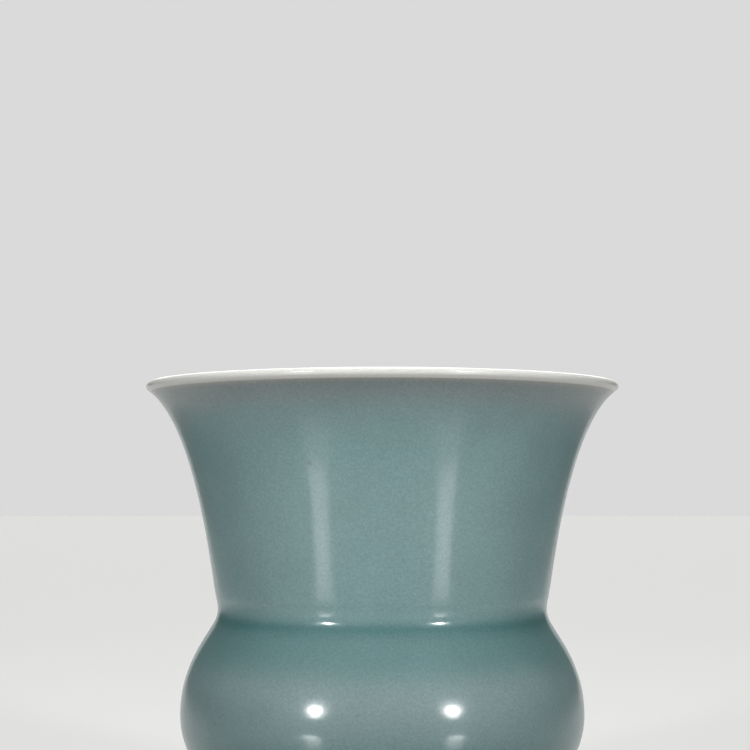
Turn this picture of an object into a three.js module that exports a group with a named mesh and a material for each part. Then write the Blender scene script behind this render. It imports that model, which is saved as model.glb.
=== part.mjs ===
// Zhadou: a porcelain jar with a wide trumpet mouth, a pinched waist and a
// round belly on a spreading foot. It is made the way the potter makes it:
// turned sections, the slip that joins them and the glaze coats on top.
// Millimetres, +Z up, the foot stands on z = 0 and the axis is the z axis.
import * as THREE from "three";

// Mouth and lip. Angles are in degrees away from upright.
const HEIGHT = 87;
const MOUTH_RADIUS = 45;
const LIP_WALL = 1.42;
const LIP_FLARE = 55;
const LIP_BAND = 1.75;

// Neck and waist. A reach is how far a curve keeps its first direction.
const NECK_TOP_REACH = 11.5;
const NECK_LOW_REACH = 3;
const NECK_LEAN = 15.1;
const WAIST_RADIUS = 31.19;
const WAIST_HEIGHT = 44.25;
const WAIST_ROUND_ABOVE = 8.2;
const WAIST_ROUND_BELOW = 4.15;
const SEAM_DROP = 1.6;

// Belly
const SHOULDER_SLOPE = 21.6;
const SHOULDER_REACH = 3;
const BELLY_RADIUS = 38.1;
const BELLY_HEIGHT = 25;
const BELLY_REACH = 9.4;
const BELLY_WALL = 3.2;
const UNDER_FULLNESS = 0.46;
const UNDER_WIDTH = 0.59;
const UNDER_RISE = 0.13;
const FLOOR_DISH = 0.5;

// Foot
const FOOT_HEIGHT = 9;
const FOOT_TOP_RADIUS = 26;
const FOOT_RADIUS = 28.4;
const FOOT_WALL = 3.6;
const FOOT_HOLLOW = 0.35;
const BARE_RIM = 1.2;
const RIM_ROUNDING = 0.5;

// Coats and joints. ROOM is the hair of air between a coat and the clay.
const GLAZE = 0.3;
const ROOM = 0.002;
const SLIP = 0.4;

// Straight facets per turn, and steps along each curve of the two sides
const SEGMENTS = 40;
const OUTER_STEPS = { lip: 4, neck: 9, waistAbove: 2, waistBelow: 2, shoulder: 5, under: 5, foot: 3 };
const INNER_STEPS = { lip: 2, neck: 7, waistAbove: 1, waistBelow: 1, shoulder: 3, under: 4 };

const PORCELAIN = { color: "#ece8df", roughness: 0.75, metalness: 0 };
const SLIP_CLAY = { color: "#e2ddd2", roughness: 0.85, metalness: 0 };
const CELADON = { color: "#829e9d", roughness: 0.12, metalness: 0 };
const WHITE_GLAZE = { color: "#e9e7e0", roughness: 0.12, metalness: 0 };

const rad = THREE.MathUtils.degToRad;
const { lerp, smoothstep } = THREE.MathUtils;
const at = (r, z) => new THREE.Vector2(r, z);

const LIP_CENTRE = at(MOUTH_RADIUS - LIP_WALL / 2, HEIGHT - LIP_WALL / 2);
const SEAM_HEIGHT = WAIST_HEIGHT - SEAM_DROP;
const BAND_HEIGHT = HEIGHT - LIP_BAND;

// Unit step in the r-z plane, leaning outwards from upright by an angle.
function leaning(angle) {
  return at(Math.sin(rad(angle)), Math.cos(rad(angle)));
}

function lipPoint(radius, angle) {
  return at(radius * Math.cos(angle), radius * Math.sin(angle)).add(LIP_CENTRE);
}

function lipArc(radius, from, to, steps) {
  return Array.from({ length: steps }, (_, i) => lipPoint(radius, lerp(from, to, i / steps)));
}

// An arc of the waist's hollow, between two leans. It is upright at lean zero.
function waistArc(rounding, from, to) {
  const centre = WAIST_RADIUS + rounding;
  return new THREE.ArcCurve(
    centre, WAIST_HEIGHT, rounding, Math.PI - rad(from), Math.PI - rad(to), false,
  );
}

// The outside of the jar, curve by curve, from just under the lip downwards.
function outsideCurves() {
  const lipEnd = lipPoint(LIP_WALL / 2, -rad(LIP_FLARE));
  const waistAbove = waistArc(WAIST_ROUND_ABOVE, NECK_LEAN, 0);
  const waistBelow = waistArc(WAIST_ROUND_BELOW, 0, -SHOULDER_SLOPE);
  const waistTop = waistAbove.getPoint(0);
  const waistLow = waistBelow.getPoint(1);
  const belly = at(BELLY_RADIUS, BELLY_HEIGHT);
  const footTop = at(FOOT_TOP_RADIUS, FOOT_HEIGHT);
  return {
    neck: new THREE.CubicBezierCurve(
      lipEnd,
      leaning(LIP_FLARE).multiplyScalar(-NECK_TOP_REACH).add(lipEnd),
      leaning(NECK_LEAN).multiplyScalar(NECK_LOW_REACH).add(waistTop),
      waistTop,
    ),
    waistAbove,
    waistBelow,
    shoulder: new THREE.CubicBezierCurve(
      waistLow,
      leaning(-SHOULDER_SLOPE).multiplyScalar(-SHOULDER_REACH).add(waistLow),
      at(BELLY_RADIUS, BELLY_HEIGHT + BELLY_REACH),
      belly,
    ),
    under: new THREE.CubicBezierCurve(
      belly,
      at(BELLY_RADIUS, lerp(BELLY_HEIGHT, FOOT_HEIGHT, UNDER_FULLNESS)),
      at(
        lerp(FOOT_TOP_RADIUS, BELLY_RADIUS, UNDER_WIDTH),
        lerp(FOOT_HEIGHT, BELLY_HEIGHT, UNDER_RISE),
      ),
      footTop,
    ),
    foot: new THREE.QuadraticBezierCurve(
      footTop,
      at(lerp(FOOT_TOP_RADIUS, FOOT_RADIUS, FOOT_HOLLOW), FOOT_HEIGHT / 2),
      at(FOOT_RADIUS, BARE_RIM),
    ),
  };
}

// Points along a curve, each moved into the wall by the depth at its height.
function follow(curve, steps, depthAt) {
  return Array.from({ length: steps + 1 }, (_, i) => {
    const point = curve.getPoint(i / steps);
    const along = curve.getTangent(i / steps);
    return at(along.y, -along.x).multiplyScalar(depthAt(point.y)).add(point);
  });
}

function followAll(names, steps, depthAt) {
  const curves = outsideCurves();
  return names.flatMap((name) => follow(curves[name], steps[name], depthAt));
}

// The outside from the lip's crest to the bare rim, under a coat of glaze.
function outerSide(coat) {
  const lip = lipArc(LIP_WALL / 2 - coat, Math.PI / 2, -rad(LIP_FLARE), OUTER_STEPS.lip);
  const names = ["neck", "waistAbove", "waistBelow", "shoulder", "under", "foot"];
  return [...lip, ...followAll(names, OUTER_STEPS, () => coat)];
}

function wallAt(z) {
  return lerp(BELLY_WALL, LIP_WALL, smoothstep(z, WAIST_HEIGHT, HEIGHT - LIP_WALL));
}

// The inside from the lip's crest to the middle of the floor.
function innerSide(coat) {
  const lipEnd = Math.PI - rad(LIP_FLARE);
  const lip = lipArc(LIP_WALL / 2 - coat, Math.PI / 2, lipEnd, INNER_STEPS.lip);
  const names = ["neck", "waistAbove", "waistBelow", "shoulder", "under"];
  const wall = followAll(names, INNER_STEPS, (z) => wallAt(z) - coat);
  return [...lip, ...wall, at(0, wall.at(-1).y - FLOOR_DISH)];
}

function crossing(a, b, z) {
  return a.clone().lerp(b, (z - a.y) / (b.y - a.y));
}

// The stretch of a falling line of points that lies between two heights.
function between(points, top, bottom) {
  const kept = [];
  points.forEach((point, i) => {
    const last = points[i - 1];
    if (last && last.y > top && point.y < top) kept.push(crossing(last, point, top));
    if (last && last.y > bottom && point.y < bottom) kept.push(crossing(last, point, bottom));
    if (point.y <= top && point.y >= bottom) kept.push(point);
  });
  return kept;
}

// A closed outline: down the first line of points and back up the second.
function loop(down, up) {
  const points = [...down, ...[...up].reverse()];
  const apart = points.filter((point, i) => i === 0 || point.distanceTo(points[i - 1]) > 1e-4);
  return apart.at(-1).distanceTo(apart[0]) > 1e-4 ? [...apart, apart[0].clone()] : apart;
}

// An outline that starts and ends on the axis.
function onAxis(points) {
  return points.filter((point, i) => i === 0 || point.distanceTo(points[i - 1]) > 1e-4);
}

function turned(name, outline, finish) {
  const geometry = new THREE.LatheGeometry([...outline].reverse(), SEGMENTS);
  geometry.rotateX(Math.PI / 2);
  const piece = new THREE.Mesh(geometry, new THREE.MeshStandardMaterial(finish));
  piece.name = name;
  return piece;
}

const skin = { outer: outerSide(0), inner: innerSide(0) };
const bed = { outer: outerSide(GLAZE), inner: innerSide(GLAZE) };
const body = { outer: outerSide(GLAZE + ROOM), inner: innerSide(GLAZE + ROOM) };
const FOOT_BORE_TOP = FOOT_TOP_RADIUS - FOOT_WALL;
const FOOT_BORE_LOW = FOOT_RADIUS - FOOT_WALL;

function neckSection() {
  const joint = SEAM_HEIGHT + SLIP / 2;
  return turned("neck_section", loop(
    between(body.outer, HEIGHT, joint),
    between(body.inner, HEIGHT, joint),
  ), PORCELAIN);
}

function neckLutingRing() {
  const top = SEAM_HEIGHT + SLIP / 2;
  const bottom = SEAM_HEIGHT - SLIP / 2;
  return turned("neck_luting_ring", loop(
    between(body.outer, top, bottom),
    between(body.inner, top, bottom),
  ), SLIP_CLAY);
}

function bellySection() {
  const joint = SEAM_HEIGHT - SLIP / 2;
  const inside = between(body.inner, joint, FOOT_HEIGHT).reverse();
  const outside = between(body.outer, joint, FOOT_HEIGHT);
  return turned("belly_section", onAxis([
    ...inside,
    ...outside,
    at(0, FOOT_HEIGHT),
  ]), PORCELAIN);
}

function footLutingRing() {
  const low = FOOT_HEIGHT - SLIP;
  const bore = [at(FOOT_BORE_TOP, FOOT_HEIGHT), at(FOOT_BORE_TOP, low)];
  return turned("foot_luting_ring", loop(
    between(body.outer, FOOT_HEIGHT, low),
    bore,
  ), SLIP_CLAY);
}

function footRing() {
  const outside = between(body.outer, FOOT_HEIGHT - SLIP, BARE_RIM);
  const rimOuter = FOOT_RADIUS - GLAZE;
  return turned("foot_ring", loop([
    ...outside,
    at(rimOuter, RIM_ROUNDING),
    at(rimOuter - RIM_ROUNDING, 0),
  ], [
    at(FOOT_BORE_TOP, FOOT_HEIGHT - SLIP),
    at(FOOT_BORE_LOW, BARE_RIM),
    at(FOOT_BORE_LOW, RIM_ROUNDING),
    at(FOOT_BORE_LOW + RIM_ROUNDING, 0),
  ]), PORCELAIN);
}

function celadonGlaze() {
  return turned("celadon_glaze", loop(
    between(skin.outer, BAND_HEIGHT, 0),
    between(bed.outer, BAND_HEIGHT, 0),
  ), CELADON);
}

function lipGlaze() {
  const outer = [skin, bed].map((side) => between(side.outer, HEIGHT, BAND_HEIGHT));
  const inner = [skin, bed].map((side) => between(side.inner, HEIGHT, BAND_HEIGHT));
  return turned("lip_glaze", loop(
    [...inner[0].reverse(), ...outer[0]],
    [...inner[1].reverse(), ...outer[1]],
  ), WHITE_GLAZE);
}

function liningGlaze() {
  const inside = between(skin.inner, BAND_HEIGHT, 0).reverse();
  const under = between(bed.inner, BAND_HEIGHT, 0);
  return turned("lining_glaze", onAxis([...inside, ...under]), WHITE_GLAZE);
}

function baseGlaze() {
  const top = FOOT_BORE_TOP - ROOM;
  const low = FOOT_BORE_LOW - ROOM;
  return turned("base_glaze", onAxis([
    at(0, FOOT_HEIGHT),
    at(top, FOOT_HEIGHT),
    at(top, FOOT_HEIGHT - SLIP),
    at(low, BARE_RIM),
    at(low - GLAZE, BARE_RIM),
    at(top - GLAZE, FOOT_HEIGHT - SLIP - GLAZE),
    at(top - 2 * GLAZE, FOOT_HEIGHT - GLAZE),
    at(0, FOOT_HEIGHT - GLAZE),
  ]), WHITE_GLAZE);
}

const zhadou = new THREE.Group();
zhadou.name = "zhadou";
zhadou.add(
  neckSection(),
  neckLutingRing(),
  bellySection(),
  footLutingRing(),
  footRing(),
  celadonGlaze(),
  lipGlaze(),
  liningGlaze(),
  baseGlaze(),
);

export default zhadou;
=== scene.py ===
import math

import bmesh
import bpy
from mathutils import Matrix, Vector


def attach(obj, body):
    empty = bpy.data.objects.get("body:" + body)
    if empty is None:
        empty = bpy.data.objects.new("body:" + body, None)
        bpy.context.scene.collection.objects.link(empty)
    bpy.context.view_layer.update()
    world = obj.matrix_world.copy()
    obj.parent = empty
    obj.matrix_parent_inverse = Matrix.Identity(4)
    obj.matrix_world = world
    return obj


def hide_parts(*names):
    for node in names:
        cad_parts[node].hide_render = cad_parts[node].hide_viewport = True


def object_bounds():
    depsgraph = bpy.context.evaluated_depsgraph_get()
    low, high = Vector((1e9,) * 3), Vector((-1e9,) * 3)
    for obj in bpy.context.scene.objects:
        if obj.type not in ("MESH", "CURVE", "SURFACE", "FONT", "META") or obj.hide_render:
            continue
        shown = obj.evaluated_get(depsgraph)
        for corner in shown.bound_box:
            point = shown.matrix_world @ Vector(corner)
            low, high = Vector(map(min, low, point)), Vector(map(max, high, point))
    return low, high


bl_info = {
    "name": "Celadon Zhadou",
    "version": (1, 0, 0),
    "blender": (4, 5, 0),
    "location": "View3D > Sidebar > Zhadou",
    "description": "Builds a turned and glazed porcelain zhadou piece by piece",
    "category": "Add Mesh",
}

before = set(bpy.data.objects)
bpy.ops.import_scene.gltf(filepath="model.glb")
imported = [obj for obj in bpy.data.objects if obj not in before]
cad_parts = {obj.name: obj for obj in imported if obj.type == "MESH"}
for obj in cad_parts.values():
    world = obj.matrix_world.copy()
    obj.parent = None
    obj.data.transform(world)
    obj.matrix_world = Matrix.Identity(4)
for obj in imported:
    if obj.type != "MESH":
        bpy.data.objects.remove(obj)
FRAME_LOW, FRAME_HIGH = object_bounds()

MM = 0.001

# How finely the pieces are turned: facets round the jar and steps along each curve.
FACETS = 192
OUTER_STEPS = {
    "lip": 14,
    "neck": 60,
    "waist_above": 10,
    "waist_below": 14,
    "shoulder": 26,
    "under": 26,
    "foot": 12,
}
INNER_STEPS = {
    "lip": 10,
    "neck": 40,
    "waist_above": 6,
    "waist_below": 8,
    "shoulder": 18,
    "under": 24,
}
FLOOR_STEPS = 12
ROUNDING_STEPS = 6

# How far the outside runs straight on before it bends: down from the lip, away
# from the waist on either side, and up from the belly's widest line.
LIP_RUN = 11.5 * MM
WAIST_RUN = 3 * MM
BELLY_RUN = 9.4 * MM

# The waist joint lies this far under the narrowest line.
JOINT_DROP = 1.6 * MM
FLOOR_DISH = 0.5 * MM
RIM_ROUNDING = 0.5 * MM

# The few specks in the glaze: curve of the profile, place along it, turn and radius in mm.
IRON_SPECKS = (
    ("neck", 0.373, math.radians(-19.8), 0.8),
    ("neck", 0.62, math.radians(141), 0.6),
    ("shoulder", 0.5, math.radians(-130), 0.7),
)

# The lamps: name, elevation in degrees, distance, width and height in metres, and
# watts. The larger and fainter panels behind the first give its reflection a glow.
LAMP_PANELS = (
    ("key", 12.3, 1.2, 0.175, 0.185, 0.21),
    ("key_glow", 12.8, 1.205, 0.27, 0.29, 0.065),
    ("key_halo", 15, 1.21, 0.38, 0.38, 0.05),
)
# Turn from the front, in degrees, of the lamps, the floor's strips and the belly's
# panels: on the left and on the right.
LIGHT_TURNS = ((-1, 37.1, 39.3, 30.2), (1, 38.9, 40, 31.7))
# Strips of light on the floor: near and far end from the axis and width, all in mm,
# and watts per square metre. Most share one far end, so the light fades towards the jar.
FLOOR_STRIPS = (
    (100, 165, 38, 1.0),
    (112, 168, 28, 1.8),
    (145, 258, 32, 4.2),
    (151, 258, 28, 4.2),
    (158, 258, 24, 3.2),
    (168, 258, 20, 2.2),
    (175, 258, 14, 1.4),
    (200, 258, 30, 9.0),
    (228, 258, 32, 22.0),
)
# Small upright panels near the belly, which mirrors them as a soft spot under each
# lamp: lower and upper edge in mm and watts per square metre.
BELLY_PANELS = ((0.5, 17.5, 0.36), (0.5, 5, 0.2), (13, 17.5, 0.08))
# Strips and panels each lie this far off the one before: of lamps that share a plane,
# a mirrored ray sees only one.
LAYER_GAP = 0.5 * MM


# Sizes and colours


class ZhadouSizes(bpy.types.PropertyGroup):
    """Driving sizes of the jar; the rest follows from them"""

    height: bpy.props.FloatProperty(
        name="Height",
        description="From the foot's rim up to the lip's crest",
        default=FRAME_HIGH.z,
        subtype="DISTANCE",
        unit="LENGTH",
    )
    mouth_radius: bpy.props.FloatProperty(
        name="Mouth Radius",
        description="From the axis to the lip's widest line",
        default=45.0 * MM,
        subtype="DISTANCE",
        unit="LENGTH",
    )
    lip_wall: bpy.props.FloatProperty(
        name="Lip Thickness",
        description="Thickness of the rounded lip, glaze included",
        default=1.42 * MM,
        subtype="DISTANCE",
        unit="LENGTH",
    )
    lip_band: bpy.props.FloatProperty(
        name="Lip Band",
        description="Height of the white band on the lip",
        default=1.75 * MM,
        subtype="DISTANCE",
        unit="LENGTH",
    )
    lip_flare: bpy.props.FloatProperty(
        name="Lip Flare",
        description="Lean of the neck just under the lip, away from upright",
        default=math.radians(55),
        subtype="ANGLE",
        unit="ROTATION",
    )
    neck_lean: bpy.props.FloatProperty(
        name="Neck Lean",
        description="Lean of the neck just above the waist, away from upright",
        default=math.radians(15.1),
        subtype="ANGLE",
        unit="ROTATION",
    )
    waist_radius: bpy.props.FloatProperty(
        name="Waist Radius",
        description="From the axis to the waist's narrowest line",
        default=31.19 * MM,
        subtype="DISTANCE",
        unit="LENGTH",
    )
    waist_height: bpy.props.FloatProperty(
        name="Waist Height",
        description="Height of the waist's narrowest line",
        default=44.25 * MM,
        subtype="DISTANCE",
        unit="LENGTH",
    )
    waist_round_above: bpy.props.FloatProperty(
        name="Waist Rounding Above",
        description="Radius of the waist's hollow over its narrowest line, seen from the side",
        default=8.2 * MM,
        subtype="DISTANCE",
        unit="LENGTH",
    )
    waist_round_below: bpy.props.FloatProperty(
        name="Waist Rounding Below",
        description="Radius of the waist's hollow under its narrowest line, seen from the side",
        default=4.15 * MM,
        subtype="DISTANCE",
        unit="LENGTH",
    )
    shoulder_slope: bpy.props.FloatProperty(
        name="Shoulder Slope",
        description="Lean of the shoulder just below the waist, away from upright",
        default=math.radians(21.6),
        subtype="ANGLE",
        unit="ROTATION",
    )
    belly_radius: bpy.props.FloatProperty(
        name="Belly Radius",
        description="From the axis to the belly's widest line",
        default=38.1 * MM,
        subtype="DISTANCE",
        unit="LENGTH",
    )
    belly_height: bpy.props.FloatProperty(
        name="Belly Height",
        description="Height of the belly's widest line",
        default=25.0 * MM,
        subtype="DISTANCE",
        unit="LENGTH",
    )
    belly_wall: bpy.props.FloatProperty(
        name="Belly Wall",
        description="Thickness of the wall in the belly, glaze included",
        default=3.2 * MM,
        subtype="DISTANCE",
        unit="LENGTH",
    )
    foot_height: bpy.props.FloatProperty(
        name="Foot Height",
        description="Height of the foot ring",
        default=9.0 * MM,
        subtype="DISTANCE",
        unit="LENGTH",
    )
    foot_top_radius: bpy.props.FloatProperty(
        name="Foot Top Radius",
        description="Radius of the foot where it meets the belly",
        default=26.0 * MM,
        subtype="DISTANCE",
        unit="LENGTH",
    )
    foot_radius: bpy.props.FloatProperty(
        name="Foot Radius",
        description="Radius of the foot at its rim",
        default=28.4 * MM,
        subtype="DISTANCE",
        unit="LENGTH",
    )
    foot_wall: bpy.props.FloatProperty(
        name="Foot Wall",
        description="Thickness of the foot ring, outer glaze included",
        default=3.6 * MM,
        subtype="DISTANCE",
        unit="LENGTH",
    )
    bare_rim: bpy.props.FloatProperty(
        name="Bare Rim",
        description="Height of the unglazed rim under the foot",
        default=1.2 * MM,
        subtype="DISTANCE",
        unit="LENGTH",
    )
    glaze: bpy.props.FloatProperty(
        name="Glaze",
        description="Thickness of a coat of glaze",
        default=0.3 * MM,
        subtype="DISTANCE",
        unit="LENGTH",
    )
    slip: bpy.props.FloatProperty(
        name="Slip",
        description="Thickness of the slip that joins two sections",
        default=0.4 * MM,
        subtype="DISTANCE",
        unit="LENGTH",
    )


def linear(hex_colour):
    """A colour written as sRGB hex, as the linear numbers that a shader takes."""
    channels = [int(hex_colour[i : i + 2], 16) / 255 for i in (1, 3, 5)]
    return [c / 12.92 if c <= 0.04045 else ((c + 0.055) / 1.055) ** 2.4 for c in channels]


class ZhadouColours(bpy.types.PropertyGroup):
    """Colours of the glazes and the clay"""

    celadon: bpy.props.FloatVectorProperty(
        name="Celadon",
        description="Bluish green of the outside, where the coat is of even thickness",
        default=linear("#7F9D9E"),
        subtype="COLOR",
        min=0.0,
        max=1.0,
    )
    # Besides pooled glaze, this deeper green is painted shade: in the waist's hollow, under the
    # lip and on the belly's underside down to the foot.
    celadon_pooled_and_shade: bpy.props.FloatVectorProperty(
        name="Pooled Celadon",
        description="Deeper green where the glaze has run together in a hollow",
        default=linear("#517A7B"),
        subtype="COLOR",
        min=0.0,
        max=1.0,
    )
    # Under the lip this greyer, darker tone is thin glaze and also painted shade; round the belly
    # it is a painted sheen, the grey cast of a soft highlight.
    celadon_thin_shade_and_sheen: bpy.props.FloatVectorProperty(
        name="Thin Celadon",
        description="Greyer tone where the glaze has run thin, under the lip and on the belly",
        default=linear("#7E8A8A"),
        subtype="COLOR",
        min=0.0,
        max=1.0,
    )
    white: bpy.props.FloatVectorProperty(
        name="White Glaze",
        description="Warm white of the lip, the inside and the base",
        default=linear("#E8E7E2"),
        subtype="COLOR",
        min=0.0,
        max=1.0,
    )
    # This grey is also painted shade on the lip's lower edge, which faces down.
    white_thin_and_shade: bpy.props.FloatVectorProperty(
        name="Thin White",
        description="Grey tone along the lower edge of the lip's band, where the white runs out",
        default=linear("#A5A29B"),
        subtype="COLOR",
        min=0.0,
        max=1.0,
    )
    clay: bpy.props.FloatVectorProperty(
        name="Porcelain",
        description="Unglazed fired porcelain of the foot's rim",
        default=linear("#E4DCCC"),
        subtype="COLOR",
        min=0.0,
        max=1.0,
    )
    clay_flush: bpy.props.FloatVectorProperty(
        name="Flushed Porcelain",
        description="Warm flush of iron on the unglazed porcelain",
        default=linear("#C9AE8C"),
        subtype="COLOR",
        min=0.0,
        max=1.0,
    )
    floor: bpy.props.FloatVectorProperty(
        name="Floor",
        description="Pale satin floor",
        default=linear("#DCDCDA"),
        subtype="COLOR",
        min=0.0,
        max=1.0,
    )


# The profile of the jar, as points (r, z) from the crest of the lip downwards


def leaning(angle):
    """A unit step in the r-z plane, leaning outwards from upright."""
    return Vector((math.sin(angle), math.cos(angle)))


def on_circle(centre, radius, angle):
    """The point at an angle on a circle in the r-z plane."""
    return centre + radius * Vector((math.cos(angle), math.sin(angle)))


def curve_point(points, t):
    """A point on the curve with these two to four control points."""
    while len(points) > 1:
        points = [a.lerp(b, t) for a, b in zip(points, points[1:])]
    return points[0]


def lip_centre(sizes):
    """Middle of the lip's rounding."""
    half = sizes.lip_wall / 2
    return Vector((sizes.mouth_radius - half, sizes.height - half))


def waist_arc(sizes, rounding, start, end):
    """An arc of the waist's hollow between two leans, as a function of t."""
    centre = Vector((sizes.waist_radius + rounding, sizes.waist_height))
    return lambda t: on_circle(centre, rounding, math.pi - start - (end - start) * t)


def outside_curves(sizes):
    """The outside, curve by curve, each a function of t from 0 at its top to 1."""
    lip_end = on_circle(lip_centre(sizes), sizes.lip_wall / 2, -sizes.lip_flare)
    waist_above = waist_arc(sizes, sizes.waist_round_above, sizes.neck_lean, 0)
    waist_below = waist_arc(sizes, sizes.waist_round_below, 0, -sizes.shoulder_slope)
    waist_top = waist_above(0)
    waist_low = waist_below(1)
    belly = Vector((sizes.belly_radius, sizes.belly_height))
    foot_top = Vector((sizes.foot_top_radius, sizes.foot_height))
    neck = [
        lip_end,
        lip_end - LIP_RUN * leaning(sizes.lip_flare),
        waist_top + WAIST_RUN * leaning(sizes.neck_lean),
        waist_top,
    ]
    shoulder = [
        waist_low,
        waist_low - WAIST_RUN * leaning(-sizes.shoulder_slope),
        belly + Vector((0, BELLY_RUN)),
        belly,
    ]
    # Shares of the belly's drop and overhang that keep its underside full.
    drop = sizes.belly_height - sizes.foot_height
    overhang = sizes.belly_radius - sizes.foot_top_radius
    under = [
        belly,
        belly - Vector((0, 0.46 * drop)),
        foot_top + Vector((0.59 * overhang, 0.13 * drop)),
        foot_top,
    ]
    # The foot spreads in a slight hollow: only a third of its spread by half its height.
    spread = sizes.foot_radius - sizes.foot_top_radius
    foot = [
        foot_top,
        Vector((sizes.foot_top_radius + 0.35 * spread, sizes.foot_height / 2)),
        Vector((sizes.foot_radius, sizes.bare_rim)),
    ]
    return {
        "neck": lambda t: curve_point(neck, t),
        "waist_above": waist_above,
        "waist_below": waist_below,
        "shoulder": lambda t: curve_point(shoulder, t),
        "under": lambda t: curve_point(under, t),
        "foot": lambda t: curve_point(foot, t),
    }


def follow(curve, steps, depth_at):
    """Points along a curve, each moved into the wall by the depth at its height."""
    points = []
    nudge = 1e-3
    for i in range(steps + 1):
        t = i / steps
        point = curve(t)
        along = (curve(min(t + nudge, 1)) - curve(max(t - nudge, 0))).normalized()
        points.append(point + depth_at(point.y) * Vector((along.y, -along.x)))
    return points


def lip_arc(sizes, coat, end, steps):
    """Points over the lip from its crest to the angle where the wall starts."""
    start = math.pi / 2
    centre = lip_centre(sizes)
    radius = sizes.lip_wall / 2 - coat
    return [on_circle(centre, radius, start + (end - start) * i / steps) for i in range(steps)]


def outer_side(sizes, coat):
    """The outside from the lip's crest to the bare rim, under a coat of glaze."""
    curves = outside_curves(sizes)
    points = lip_arc(sizes, coat, -sizes.lip_flare, OUTER_STEPS["lip"])
    for name in ("neck", "waist_above", "waist_below", "shoulder", "under", "foot"):
        points += follow(curves[name], OUTER_STEPS[name], lambda z: coat)
    return points


def wall_at(sizes, z):
    """Thickness of the wall at a height: thin at the lip, full from the waist down."""
    top = sizes.height - sizes.lip_wall
    t = min(max((z - sizes.waist_height) / (top - sizes.waist_height), 0), 1)
    t = t * t * (3 - 2 * t)
    return sizes.belly_wall + (sizes.lip_wall - sizes.belly_wall) * t


def inner_side(sizes, coat):
    """The inside from the lip's crest to the middle of the floor."""
    curves = outside_curves(sizes)
    points = lip_arc(sizes, coat, math.pi - sizes.lip_flare, INNER_STEPS["lip"])
    for name in ("neck", "waist_above", "waist_below", "shoulder", "under"):
        points += follow(curves[name], INNER_STEPS[name], lambda z: wall_at(sizes, z) - coat)
    return points + floor_dish(points[-1])


def floor_dish(edge):
    """The inside floor from its edge to the axis, slightly dished."""
    rings = [1 - i / FLOOR_STEPS for i in range(1, FLOOR_STEPS + 1)]
    return [Vector((edge.x * r, edge.y - FLOOR_DISH * (1 - r * r))) for r in rings]


def between(points, top, bottom):
    """The stretch of a falling line of points that lies between two heights."""
    kept = []
    for last, point in zip([points[0], *points], points):
        for level in (top, bottom):
            if last.y > level > point.y:
                kept.append(last.lerp(point, (level - last.y) / (point.y - last.y)))
        if bottom <= point.y <= top:
            kept.append(point)
    return kept


def quarter(centre, radius, start, way):
    """Points along a quarter of a circle in the r-z plane, turning one way or the other."""
    turns = [way * math.pi / 2 * i / ROUNDING_STEPS for i in range(ROUNDING_STEPS + 1)]
    return [on_circle(centre, radius, start + turn) for turn in turns]


# Turning a profile into a piece


def turned(name, outline, finish, closed=True):
    """A solid of revolution. A closed outline is a ring; an open one ends on the axis."""
    rows = []
    bm = bmesh.new()
    on_axis = 1e-6
    angles = [2 * math.pi * i / FACETS for i in range(FACETS)]
    for r, z in outline:
        if r < on_axis:
            rows.append([bm.verts.new((0, 0, z))])
        else:
            rows.append([bm.verts.new((r * math.cos(a), r * math.sin(a), z)) for a in angles])
    if closed:
        rows.append(rows[0])
    for upper, lower in zip(rows, rows[1:]):
        bridge(bm, upper, lower)
    bmesh.ops.recalc_face_normals(bm, faces=bm.faces)
    mesh = bpy.data.meshes.new(name)
    bm.to_mesh(mesh)
    bm.free()
    mesh.materials.append(finish)
    piece = bpy.data.objects.new(name, mesh)
    bpy.context.scene.collection.objects.link(piece)
    smooth_over(piece)
    return piece


def bridge(bm, upper, lower):
    """Faces between two rings of points, or between a ring and the axis."""
    for i in range(FACETS):
        j = (i + 1) % FACETS
        corners = [upper[i % len(upper)], upper[j % len(upper)]]
        corners += [lower[j % len(lower)], lower[i % len(lower)]]
        bm.faces.new(list(dict.fromkeys(corners)))


def smooth_over(piece):
    """Rounded shading, with the sharp turns of the outline kept sharp."""
    for face in piece.data.polygons:
        face.use_smooth = True
    piece.data.set_sharp_from_angle(angle=math.radians(40))


def loop(down, up):
    """A closed outline: down the first line of points and back up the second."""
    points = [*down, *reversed(up)]
    same_place = 1e-7
    return [p for p, last in zip(points, [points[-1], *points]) if (p - last).length > same_place]


def seat(piece, node):
    """Places a piece in the frame: it rides the jar and stands for one CAD node."""
    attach(piece, "root")
    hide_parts(node)


# Finishes


def add(tree, kind, inputs, **settings):
    """Adds a node with its settings; each input takes a value or another node's output."""
    node = tree.nodes.new(kind)
    for key, value in settings.items():
        setattr(node, key, value)
    for socket, source in inputs.items():
        if isinstance(source, bpy.types.NodeSocket):
            tree.links.new(source, node.inputs[socket])
        else:
            node.inputs[socket].default_value = source
    return node


def rgba(colour):
    """A colour as a colour socket takes it."""
    return (*colour, 1)


def new_finish(name):
    """An empty material and its shader tree."""
    finish = bpy.data.materials.new(name)
    finish.use_nodes = True
    tree = finish.node_tree
    tree.nodes.clear()
    return finish, tree


def surface_mm(tree):
    """Position on the object in millimetres, whole and by axis."""
    place = add(tree, "ShaderNodeTexCoord", {})
    scaled = add(
        tree,
        "ShaderNodeVectorMath",
        {0: place.outputs["Object"], "Scale": 1 / MM},
        operation="SCALE",
    )
    split = add(tree, "ShaderNodeSeparateXYZ", {0: scaled.outputs[0]})
    return scaled.outputs[0], split.outputs


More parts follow.
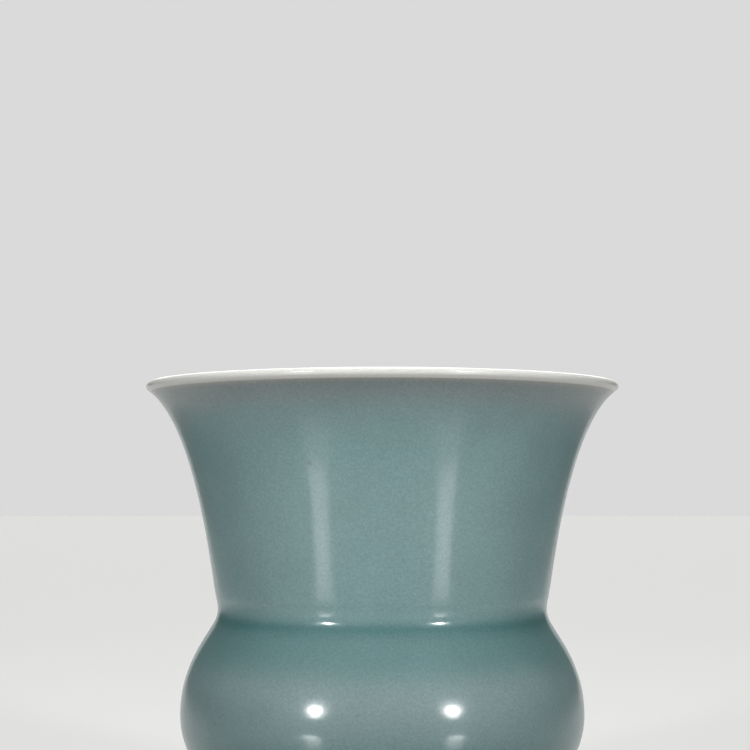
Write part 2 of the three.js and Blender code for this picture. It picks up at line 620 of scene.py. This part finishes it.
def height_mask(tree, z, stops):
    """0 to 1 by height: stops are (height in mm, value), smooth in between."""
    low, high = stops[0][0], stops[-1][0]
    scaled = add(tree, "ShaderNodeMapRange", {"Value": z, "From Min": low, "From Max": high})
    ramp = add(tree, "ShaderNodeValToRGB", {"Fac": scaled.outputs["Result"]})
    ramp.color_ramp.interpolation = "B_SPLINE"
    marks = ramp.color_ramp.elements
    while len(marks) < len(stops):
        marks.new(0.5)
    for mark, (height, value) in zip(marks, stops):
        mark.position = (height - low) / (high - low)
        mark.color = (value, value, value, 1)
    return ramp.outputs["Color"]


def unevenness(tree, place, size, detail, roughness, low, high):
    """A factor that wanders between two values over patches of a size in mm."""
    noise = add(
        tree,
        "ShaderNodeTexNoise",
        {"Vector": place, "Scale": 1 / size, "Detail": detail, "Roughness": roughness},
    )
    factor = add(
        tree,
        "ShaderNodeMapRange",
        {
            "Value": noise.outputs["Fac"],
            "From Min": 0.3,
            "From Max": 0.7,
            "To Min": low,
            "To Max": high,
        },
    )
    return factor.outputs["Result"]


def celadon_glaze(sizes, colours):
    """Celadon glaze over porcelain, dipped and fired."""
    # Dipped and fired: glossy, slightly wavy, deeper green where it pooled in
    # the hollow of the waist and greyer where it ran thin under the lip. The
    # deeper green is also painted shade in the waist's hollow, on the shoulder
    # under it, on the belly's underside down to the foot and under the lip;
    # under the lip the grey is also painted shade, and a grey band round the
    # belly is a painted sheen. Fine bubbles held in the coat give it a grain of
    # about half a millimetre, and its tone drifts a little from one centimetre
    # to the next.
    finish, tree = new_finish("celadon_glaze_dipped_and_fired")
    place, axes = surface_mm(tree)
    z = axes["Z"]
    seam = (sizes.waist_height - JOINT_DROP) / MM
    top = sizes.height / MM
    band = (sizes.height - sizes.lip_band) / MM
    foot = sizes.foot_height / MM
    belly = sizes.belly_height / MM
    # Pooled glaze at the waist's seam, together with painted shade there, on the shoulder under
    # the waist, on the belly's underside down to the foot and under the lip's flare.
    pooled = height_mask(tree, z, [
        (0, 0.3), (foot - 2, 0.45), (foot, 1), (foot + 3, 0.85),
        (belly - 6, 0.8), (belly - 2, 0.7), (belly + 1, 0.5), (belly + 4, 0.18), (belly + 6, 0),
        (seam - 9.5, 0.12), (seam - 7.5, 0.46), (seam - 5, 0.62), (seam - 2.5, 0.55),
        (seam - 1, 0.8), (seam - 0.3, 1), (seam + 0.3, 1), (seam + 1, 0.55), (seam + 1.8, 0.25),
        (seam + 3.5, 0.1), (seam + 7, 0.14), (seam + 14, 0),
        (top - 22, 0), (top - 16, 0.08), (top - 9.5, 0.27), (top - 5, 0.3), (top - 2, 0.3),
    ])
    # Greyer: thin glaze and painted shade under the lip, and a painted sheen in a band round the
    # belly's widest line and just above it.
    thin = height_mask(tree, z, [
        (belly - 9, 0), (belly - 1, 0.4), (belly + 5, 0.5), (belly + 8, 0.42),
        (belly + 11, 0.1), (belly + 14, 0),
        (top - 13, 0), (top - 9.5, 0.15), (top - 7, 0.4), (top - 5.5, 0.65),
        (top - 4, 0.95), (top - 2, 1),
    ])
    # Grey just under the lip's band: the white running out, and painted shade under the lip.
    over_band = height_mask(tree, z, [
        (band - 2, 0), (band - 1.2, 0), (band - 0.6, 0.1), (band - 0.2, 0.6), (band, 0.9),
    ])
    tone = rgba(colours.celadon)
    for mask, colour in (
        (pooled, colours.celadon_pooled_and_shade),
        (thin, colours.celadon_thin_shade_and_sheen),
        (over_band, colours.white_thin_and_shade),
    ):
        mix = add(
            tree, "ShaderNodeMix", {"Factor": mask, 6: tone, 7: rgba(colour)}, data_type="RGBA"
        )
        tone = mix.outputs[2]
    grain = unevenness(tree, place, 0.42, 4.0, 0.75, 0.83, 1.16)
    drift = unevenness(tree, place, 11, 2.0, 0.5, 0.96, 1.04)
    brightness = add(tree, "ShaderNodeMath", {0: grain, 1: drift}, operation="MULTIPLY")
    speckled = kiln_specks(tree, place, brightness.outputs[0], outside_curves(sizes))
    toned = add(tree, "ShaderNodeHueSaturation", {"Color": tone, "Value": speckled})
    glassy_skin(tree, toned.outputs[0], place, z, dimple_depth=0.006 * MM)
    return finish


def kiln_specks(tree, place, brightness, curves):
    """Darkens the glaze in a few faint specks of iron, a millimetre or so across."""
    for curve, along, turn, size in IRON_SPECKS:
        r, z = curves[curve](along) / MM
        spot = (r * math.sin(turn), -r * math.cos(turn), z)
        gap = add(tree, "ShaderNodeVectorMath", {0: place, 1: spot}, operation="DISTANCE")
        fade = add(
            tree,
            "ShaderNodeMapRange",
            {
                "Value": gap.outputs["Value"],
                "From Min": 0.3 * size,
                "From Max": size,
                "To Min": 0.75,
            },
        )
        darker = add(
            tree,
            "ShaderNodeMath",
            {0: brightness, 1: fade.outputs["Result"]},
            operation="MULTIPLY",
        )
        brightness = darker.outputs[0]
    return brightness


def glassy_skin(tree, colour, place, z, dimple_depth):
    """Gloss of fired glaze: a clear skin over a coat that is hazy with bubbles."""
    # Both have the index of glass. The skin is thin, so it mirrors less than a
    # full coat, and its roughness is what gives a lamp's image its soft edge.
    peel = orange_peel(tree, place, z, dimple_depth)
    shader = add(
        tree,
        "ShaderNodeBsdfPrincipled",
        {
            "Base Color": colour,
            "Roughness": 0.42,
            "IOR": 1.5,
            "Specular IOR Level": 0.15,
            "Coat Weight": 0.62,
            "Coat Roughness": 0.11,
            "Coat IOR": 1.5,
            "Normal": peel,
            "Coat Normal": peel,
        },
    )
    add(tree, "ShaderNodeOutputMaterial", {"Surface": shader.outputs[0]})


def orange_peel(tree, place, z, dimple_depth):
    """The dimpled skin of fired glaze over faint throwing lines."""
    # Width in mm, detail and depth of the dimples, of the lines, which follow the
    # height alone, and of the finest pits.
    level = add(tree, "ShaderNodeCombineXYZ", {"Z": z})
    normal = {}
    for where, size, detail, depth in (
        (place, 0.9, 2.0, dimple_depth),
        (level.outputs[0], 2, 5.0, 0.022 * MM),
        (place, 0.29, 1.0, 0.0015 * MM),
    ):
        noise = add(
            tree, "ShaderNodeTexNoise", {"Vector": where, "Scale": 1 / size, "Detail": detail}
        )
        bump = add(
            tree,
            "ShaderNodeBump",
            {"Height": noise.outputs["Fac"], "Distance": depth, "Strength": 1.0, **normal},
        )
        normal = {"Normal": bump.outputs[0]}
    return normal["Normal"]


def white_glaze(name, colours, thin_and_shade_stops):
    """White porcelain glaze, thicker and softer than the celadon."""
    # Poured and fired: glossy and warm, with only the faintest grain. Where it
    # runs thin it turns grey; on the lip's lower edge that grey is also painted shade.
    finish, tree = new_finish(name)
    place, axes = surface_mm(tree)
    mix = add(
        tree,
        "ShaderNodeMix",
        {
            "Factor": height_mask(tree, axes["Z"], thin_and_shade_stops),
            6: rgba(colours.white),
            7: rgba(colours.white_thin_and_shade),
        },
        data_type="RGBA",
    )
    grain = unevenness(tree, place, 0.62, 2.0, 0.5, 0.97, 1.02)
    toned = add(tree, "ShaderNodeHueSaturation", {"Color": mix.outputs[2], "Value": grain})
    glassy_skin(tree, toned.outputs[0], place, axes["Z"], dimple_depth=0.002 * MM)
    return finish


def bare_porcelain(name, colours):
    """Unglazed porcelain, fired, with a trace of iron from the kiln."""
    # Turned or laid on wet, then fired: matt and slightly gritty, flushed warm
    # in places some millimetres wide.
    finish, tree = new_finish(name)
    place, _ = surface_mm(tree)
    grit = add(
        tree, "ShaderNodeTexNoise", {"Vector": place, "Scale": 1 / 0.33, "Detail": 4.0}
    )
    flush = add(
        tree, "ShaderNodeTexNoise", {"Vector": place, "Scale": 1 / 6.7, "Detail": 3.0}
    )
    mixed = add(
        tree,
        "ShaderNodeMix",
        {
            "Factor": flush.outputs["Fac"],
            6: rgba(colours.clay),
            7: rgba(colours.clay_flush),
        },
        data_type="RGBA",
    )
    rough = add(
        tree, "ShaderNodeBump", {"Height": grit.outputs["Fac"], "Distance": 0.03 * MM}
    )
    shader = add(
        tree,
        "ShaderNodeBsdfPrincipled",
        {"Base Color": mixed.outputs[2], "Roughness": 0.75, "Normal": rough.outputs[0]},
    )
    add(tree, "ShaderNodeOutputMaterial", {"Surface": shader.outputs[0]})
    return finish


def seen_directly(tree):
    """1 for the camera and for what gloss or glass shows, 0 for scattered light."""
    ray = add(tree, "ShaderNodeLightPath", {})
    seen = ray.outputs["Is Camera Ray"]
    for name in ("Is Glossy Ray", "Is Transmission Ray"):
        either = add(
            tree, "ShaderNodeMath", {0: seen, 1: ray.outputs[name]}, operation="MAXIMUM"
        )
        seen = either.outputs[0]
    return seen


def satin_floor(colours):
    """Pale satin board for the floor, with a soft reflection."""
    # Painted and rubbed down: nearly matt. Its full colour is for what looks at
    # it; it passes on only a tenth of that as light, so that the underside of
    # the jar isn't lit up from below.
    finish, tree = new_finish("satin_board_floor")
    passed_on = [0.1 * channel for channel in colours.floor]
    tone = add(
        tree,
        "ShaderNodeMix",
        {"Factor": seen_directly(tree), 6: rgba(passed_on), 7: rgba(colours.floor)},
        data_type="RGBA",
    )
    shader = add(
        tree,
        "ShaderNodeBsdfPrincipled",
        {"Base Color": tone.outputs[2], "Roughness": 0.85, "Specular IOR Level": 0.15},
    )
    add(tree, "ShaderNodeOutputMaterial", {"Surface": shader.outputs[0]})
    return finish


def black_felt():
    """Black felt, pressed, for the cards beside the picture."""
    # Matt and without a sheen. It thins out to nothing towards the cards' front
    # edge and the floor, so that the glaze mirrors no hard edge.
    finish, tree = new_finish("black_felt_pressed")
    place, axes = surface_mm(tree)
    backwards = add(
        tree, "ShaderNodeMapRange", {"Value": axes["Y"], "From Min": -130, "From Max": 30}
    )
    upwards = add(
        tree, "ShaderNodeMapRange", {"Value": axes["Z"], "From Min": 0, "From Max": 35}
    )
    cover = add(
        tree,
        "ShaderNodeMath",
        {0: backwards.outputs["Result"], 1: upwards.outputs["Result"]},
        operation="MULTIPLY",
    )
    nap = add(tree, "ShaderNodeTexNoise", {"Vector": place, "Scale": 1 / 2, "Detail": 3.0})
    tone = add(
        tree,
        "ShaderNodeMix",
        {
            "Factor": nap.outputs["Fac"],
            6: rgba(linear("#141414")),
            7: rgba(linear("#1E1E1E")),
        },
        data_type="RGBA",
    )
    shader = add(
        tree, "ShaderNodeBsdfPrincipled", {"Base Color": tone.outputs[2], "Roughness": 0.95}
    )
    gap = add(tree, "ShaderNodeBsdfTransparent", {})
    graded = add(
        tree,
        "ShaderNodeMixShader",
        {0: cover.outputs[0], 1: gap.outputs[0], 2: shader.outputs[0]},
    )
    add(tree, "ShaderNodeOutputMaterial", {"Surface": graded.outputs[0]})
    return finish


# The pieces


def joint_heights(sizes):
    """Top and bottom of the slip in the waist joint."""
    seam = sizes.waist_height - JOINT_DROP
    return seam + sizes.slip / 2, seam - sizes.slip / 2


class ZHADOU_OT_clay_sections(bpy.types.Operator):
    """Turn the neck, the belly and the foot ring in porcelain"""

    bl_idname = "zhadou.clay_sections"
    bl_label = "Clay Sections"

    def execute(self, context):
        sizes, colours = context.scene.zhadou_sizes, context.scene.zhadou_colours
        clay = bare_porcelain("unglazed_porcelain_turned_and_fired", colours)
        outer = outer_side(sizes, sizes.glaze)
        inner = inner_side(sizes, sizes.glaze)
        joint_top, joint_low = joint_heights(sizes)
        outside = between(outer, sizes.height, joint_top)
        inside = between(inner, sizes.height, joint_top)
        neck = turned("neck_clay", loop(outside, inside), clay)
        seat(neck, "neck_section")
        outside = between(outer, joint_low, sizes.foot_height)
        inside = between(inner, joint_low, sizes.foot_height)
        base = Vector((0, sizes.foot_height))
        belly = turned("belly_clay", [*reversed(inside), *outside, base], clay, closed=False)
        seat(belly, "belly_section")
        foot = turned("foot_clay", foot_outline(sizes, outer), clay)
        seat(foot, "foot_ring")
        return {"FINISHED"}


def foot_outline(sizes, outer):
    """The foot ring: glazed outside, a bare rounded rim, and the bore inside."""
    top = sizes.foot_height - sizes.slip
    bore_top = sizes.foot_top_radius - sizes.foot_wall
    bore_low = sizes.foot_radius - sizes.foot_wall
    rim_outer = sizes.foot_radius - sizes.glaze
    low_outer = Vector((rim_outer - RIM_ROUNDING, RIM_ROUNDING))
    low_inner = Vector((bore_low + RIM_ROUNDING, RIM_ROUNDING))
    down = [*between(outer, top, sizes.bare_rim), *quarter(low_outer, RIM_ROUNDING, 0, -1)]
    bore = quarter(low_inner, RIM_ROUNDING, math.pi, 1)
    return loop(down, [Vector((bore_top, top)), Vector((bore_low, sizes.bare_rim)), *bore])


class ZHADOU_OT_slip_rings(bpy.types.Operator):
    """Lay the slip that joins the sections"""

    bl_idname = "zhadou.slip_rings"
    bl_label = "Slip Rings"

    def execute(self, context):
        sizes, colours = context.scene.zhadou_sizes, context.scene.zhadou_colours
        clay = bare_porcelain("porcelain_slip_laid_and_fired", colours)
        outer = outer_side(sizes, sizes.glaze)
        inner = inner_side(sizes, sizes.glaze)
        top, low = joint_heights(sizes)
        waist = turned("neck_slip", loop(between(outer, top, low), between(inner, top, low)), clay)
        seat(waist, "neck_luting_ring")
        top, low = sizes.foot_height, sizes.foot_height - sizes.slip
        bore = sizes.foot_top_radius - sizes.foot_wall
        edge = [Vector((bore, top)), Vector((bore, low))]
        foot = turned("foot_slip", loop(between(outer, top, low), edge), clay)
        seat(foot, "foot_luting_ring")
        return {"FINISHED"}


class ZHADOU_OT_celadon_coat(bpy.types.Operator):
    """Coat the outside in celadon glaze"""

    bl_idname = "zhadou.celadon_coat"
    bl_label = "Celadon Coat"

    def execute(self, context):
        sizes, colours = context.scene.zhadou_sizes, context.scene.zhadou_colours
        band = sizes.height - sizes.lip_band
        face, back = [between(outer_side(sizes, depth), band, 0) for depth in (0, sizes.glaze)]
        coat = turned("celadon_coat", loop(face, back), celadon_glaze(sizes, colours))
        seat(coat, "celadon_glaze")
        return {"FINISHED"}


class ZHADOU_OT_white_coats(bpy.types.Operator):
    """Coat the lip, the inside and the base in white glaze"""

    bl_idname = "zhadou.white_coats"
    bl_label = "White Coats"

    def execute(self, context):
        sizes, colours = context.scene.zhadou_sizes, context.scene.zhadou_colours
        even = [(0, 0), (1, 0)]
        white = white_glaze("white_porcelain_glaze_fired", colours, even)
        band = sizes.height - sizes.lip_band
        low = band / MM
        # The lip's lower edge greys: thin white, and painted shade where the lip faces down.
        thin_and_shaded_edge = [(low, 0.5), (low + 0.25, 0.12), (low + 0.6, 0), (low + 1.1, 0)]
        lip_white = white_glaze("white_lip_glaze_wiped_and_fired", colours, thin_and_shaded_edge)
        outer = [outer_side(sizes, depth) for depth in (0, sizes.glaze)]
        inner = [inner_side(sizes, depth) for depth in (0, sizes.glaze)]
        face, back = [
            [*reversed(between(i, sizes.height, band)), *between(o, sizes.height, band)]
            for i, o in zip(inner, outer)
        ]
        lip = turned("lip_coat", loop(face, back), lip_white)
        seat(lip, "lip_glaze")
        face, back = [between(i, band, 0) for i in inner]
        lining = turned("lining_coat", [*reversed(face), *back], white, closed=False)
        seat(lining, "lining_glaze")
        base = turned("base_coat", base_outline(sizes), white, closed=False)
        seat(base, "base_glaze")
        return {"FINISHED"}


def base_outline(sizes):
    """The coat under the base and down the inside of the foot."""
    glaze = sizes.glaze
    roof = sizes.foot_height
    top = sizes.foot_top_radius - sizes.foot_wall
    low = sizes.foot_radius - sizes.foot_wall
    rounding = 3 * glaze
    inset = glaze + rounding
    return [
        Vector((0, roof)),
        Vector((top, roof)),
        Vector((top, roof - sizes.slip)),
        Vector((low, sizes.bare_rim)),
        Vector((low - glaze, sizes.bare_rim)),
        *quarter(Vector((top - inset, roof - inset)), rounding, 0, 1),
        Vector((0, roof - glaze)),
    ]


# The stage


class ZHADOU_OT_stage(bpy.types.Operator):
    """Set the floor, the light and the camera"""

    bl_idname = "zhadou.stage"
    bl_label = "Stage"

    def execute(self, context):
        scene = context.scene
        sizes, colours = scene.zhadou_sizes, scene.zhadou_colours
        floor = floor_sheet(satin_floor(colours))
        aim = Vector((0, 0, 0.55 * sizes.height))
        felt = black_felt()
        for side, lamp_turn, strip_turn, panel_turn in LIGHT_TURNS:
            turn = side * math.radians(lamp_turn)
            for name, *lamp_settings in LAMP_PANELS:
                lamp(f"{name}_{side}", turn, aim, *lamp_settings)
            turn = side * math.radians(strip_turn)
            for layer, strip in enumerate(FLOOR_STRIPS):
                low_strip(f"strip_{layer}_{side}", side, turn, layer, *strip)
            turn = side * math.radians(panel_turn)
            for layer, panel in enumerate(BELLY_PANELS):
                belly_panel(f"panel_{layer}_{side}", side, turn, layer, *panel)
            dark_card(f"dark_card_{side}", side, felt)
        wide_light("overhead", 2.0, 0)
        wide_light("from_behind", 1.5, math.radians(55))
        pale_world(scene)
        scene.camera = photo_camera()
        scene.view_settings.view_transform = "Standard"
        return {"FINISHED"}


def area_light(name, shape, width, height, watts):
    """An area light of a shape and size, yet to be placed."""
    data = bpy.data.lights.new(name, "AREA")
    data.shape = shape
    data.size = width
    data.size_y = height
    data.energy = watts
    light = bpy.data.objects.new(name, data)
    bpy.context.scene.collection.objects.link(light)
    return light


def lamp(name, turn, aim, elevation, distance, width, height, watts):
    """A round soft panel, turned from the front and raised in degrees, facing the aim."""
    rise = math.radians(elevation)
    level = math.cos(rise)
    away = Vector((math.sin(turn) * level, -math.cos(turn) * level, math.sin(rise)))
    light = area_light(name, "ELLIPSE", width, height, watts)
    light.data.spread = math.radians(40)
    light.location = aim + distance * away
    light.rotation_euler = away.to_track_quat("Z", "Y").to_euler()


def low_strip(name, side, turn, layer, near, far, width, brightness):
    """A strip of light just over the floor that points past the jar and shines up."""
    top_layer = 5 * MM
    inward_shift = 10.5 * MM
    size, length = width * MM, (far - near) * MM
    along = Vector((math.sin(turn), -math.cos(turn), 0))
    inwards = Vector((-side * math.cos(turn), -side * math.sin(turn), 0))
    rise = Vector((0, 0, top_layer - layer * LAYER_GAP))
    light = area_light(name, "RECTANGLE", size, length, brightness * size * length)
    light.location = (far + near) / 2 * MM * along + inward_shift * inwards + rise
    light.rotation_euler = (math.pi, 0, turn)
    light.visible_camera = False


def belly_panel(name, side, turn, layer, low, high, brightness):
    """A small upright panel with a narrow beam, seen only as the belly's reflection."""
    width, height = 12 * MM, (high - low) * MM
    reach = 94 * MM + layer * LAYER_GAP
    # The beam leaves the panel this much askew and uphill to meet the belly's face.
    facing = turn + side * math.radians(8.3)
    uphill = math.tan(math.radians(11))
    away = Vector((math.sin(facing), -math.cos(facing), -uphill))
    light = area_light(name, "RECTANGLE", width, height, brightness * width * height)
    light.data.spread = math.radians(26)
    light.location = (reach * math.sin(turn), -reach * math.cos(turn), (high + low) / 2 * MM)
    light.rotation_euler = away.to_track_quat("Z", "Y").to_euler()
    light.visible_camera = False
    light.visible_diffuse = False


def wide_light(name, strength, lean):
    """Soft even light from high up, which keeps the floor pale all over."""
    data = bpy.data.lights.new(name, "SUN")
    data.energy = strength
    data.angle = math.radians(50)
    light = bpy.data.objects.new(name, data)
    light.rotation_euler = (-lean, 0, 0)
    bpy.context.scene.collection.objects.link(light)


def sheet(name, corners, faces, finish):
    """A flat or folded sheet for the stage."""
    mesh = bpy.data.meshes.new(name)
    mesh.from_pydata(corners, [], faces)
    mesh.materials.append(finish)
    piece = bpy.data.objects.new(name, mesh)
    bpy.context.scene.collection.objects.link(piece)
    return piece


def dark_card(name, side, finish):
    """A dark card just outside the picture, which the edge of the glaze mirrors."""
    feet = ((0.14, -0.14), (0.15, 0), (0.18, 0.15), (0.3, 0.6))
    bottom, top = 0.001, 0.5
    corners = [(side * x, y, z) for x, y in feet for z in (bottom, top)]
    faces = [(i, i + 2, i + 3, i + 1) for i in (0, 2, 4)]
    card = sheet(name, corners, faces, finish)
    card.visible_camera = False
    card.visible_diffuse = False
    card.visible_shadow = False


def floor_sheet(finish):
    """A wide flat sheet under the foot."""
    half = 6.0
    corners = [(-half, -half, 0), (half, -half, 0), (half, half, 0), (-half, half, 0)]
    return sheet("floor", corners, [(0, 1, 2, 3)], finish)


def pale_world(scene):
    """Faint light all round; the camera, gloss and glass see it as plain pale grey."""
    lit, seen = 0.015, 0.7
    world = bpy.data.worlds.new("pale_room")
    world.use_nodes = True
    tree = world.node_tree
    tree.nodes.clear()
    light = add(
        tree, "ShaderNodeMix", {"Factor": seen_directly(tree), 2: lit, 3: seen}, data_type="FLOAT"
    )
    sky = add(
        tree, "ShaderNodeBackground", {"Color": (1, 1, 1, 1), "Strength": light.outputs[0]}
    )
    add(tree, "ShaderNodeOutputWorld", {"Surface": sky.outputs[0]})
    scene.world = world


def photo_camera():
    """The photograph's view: level with the upper neck, looking up a little."""
    distance, eye_height = 0.3262, 0.06518
    upwards, sideways = math.radians(4.153), math.radians(0.241)
    data = bpy.data.cameras.new("photo_view")
    data.sensor_width = 36
    data.lens = 81.6
    data.clip_start = 0.01
    camera = bpy.data.objects.new("photo_view", data)
    camera.location = (0, -distance, eye_height)
    camera.rotation_euler = (math.pi / 2 + upwards, 0, sideways)
    bpy.context.scene.collection.objects.link(camera)
    return camera


class ZHADOU_PT_panel(bpy.types.Panel):
    """Sidebar panel that lists the steps and the sizes"""

    bl_idname = "ZHADOU_PT_panel"
    bl_label = "Zhadou"
    bl_space_type = "VIEW_3D"
    bl_region_type = "UI"
    bl_category = "Zhadou"

    def draw(self, context):
        for step in STEPS:
            self.layout.operator(step.bl_idname)
        for group in (context.scene.zhadou_sizes, context.scene.zhadou_colours):
            box = self.layout.box()
            for name in group.bl_rna.properties.keys():
                if name not in ("rna_type", "name"):
                    box.prop(group, name)


STEPS = (
    ZHADOU_OT_clay_sections,
    ZHADOU_OT_slip_rings,
    ZHADOU_OT_celadon_coat,
    ZHADOU_OT_white_coats,
    ZHADOU_OT_stage,
)
CLASSES = (ZhadouSizes, ZhadouColours, *STEPS, ZHADOU_PT_panel)


def register():
    for cls in CLASSES:
        bpy.utils.register_class(cls)
    bpy.types.Scene.zhadou_sizes = bpy.props.PointerProperty(type=ZhadouSizes)
    bpy.types.Scene.zhadou_colours = bpy.props.PointerProperty(type=ZhadouColours)


def unregister():
    del bpy.types.Scene.zhadou_colours
    del bpy.types.Scene.zhadou_sizes
    for cls in reversed(CLASSES):
        bpy.utils.unregister_class(cls)


def main():
    """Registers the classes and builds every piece."""
    register()
    bpy.ops.zhadou.clay_sections()
    bpy.ops.zhadou.slip_rings()
    bpy.ops.zhadou.celadon_coat()
    bpy.ops.zhadou.white_coats()
    bpy.ops.zhadou.stage()


if __name__ == "__main__":
    main()
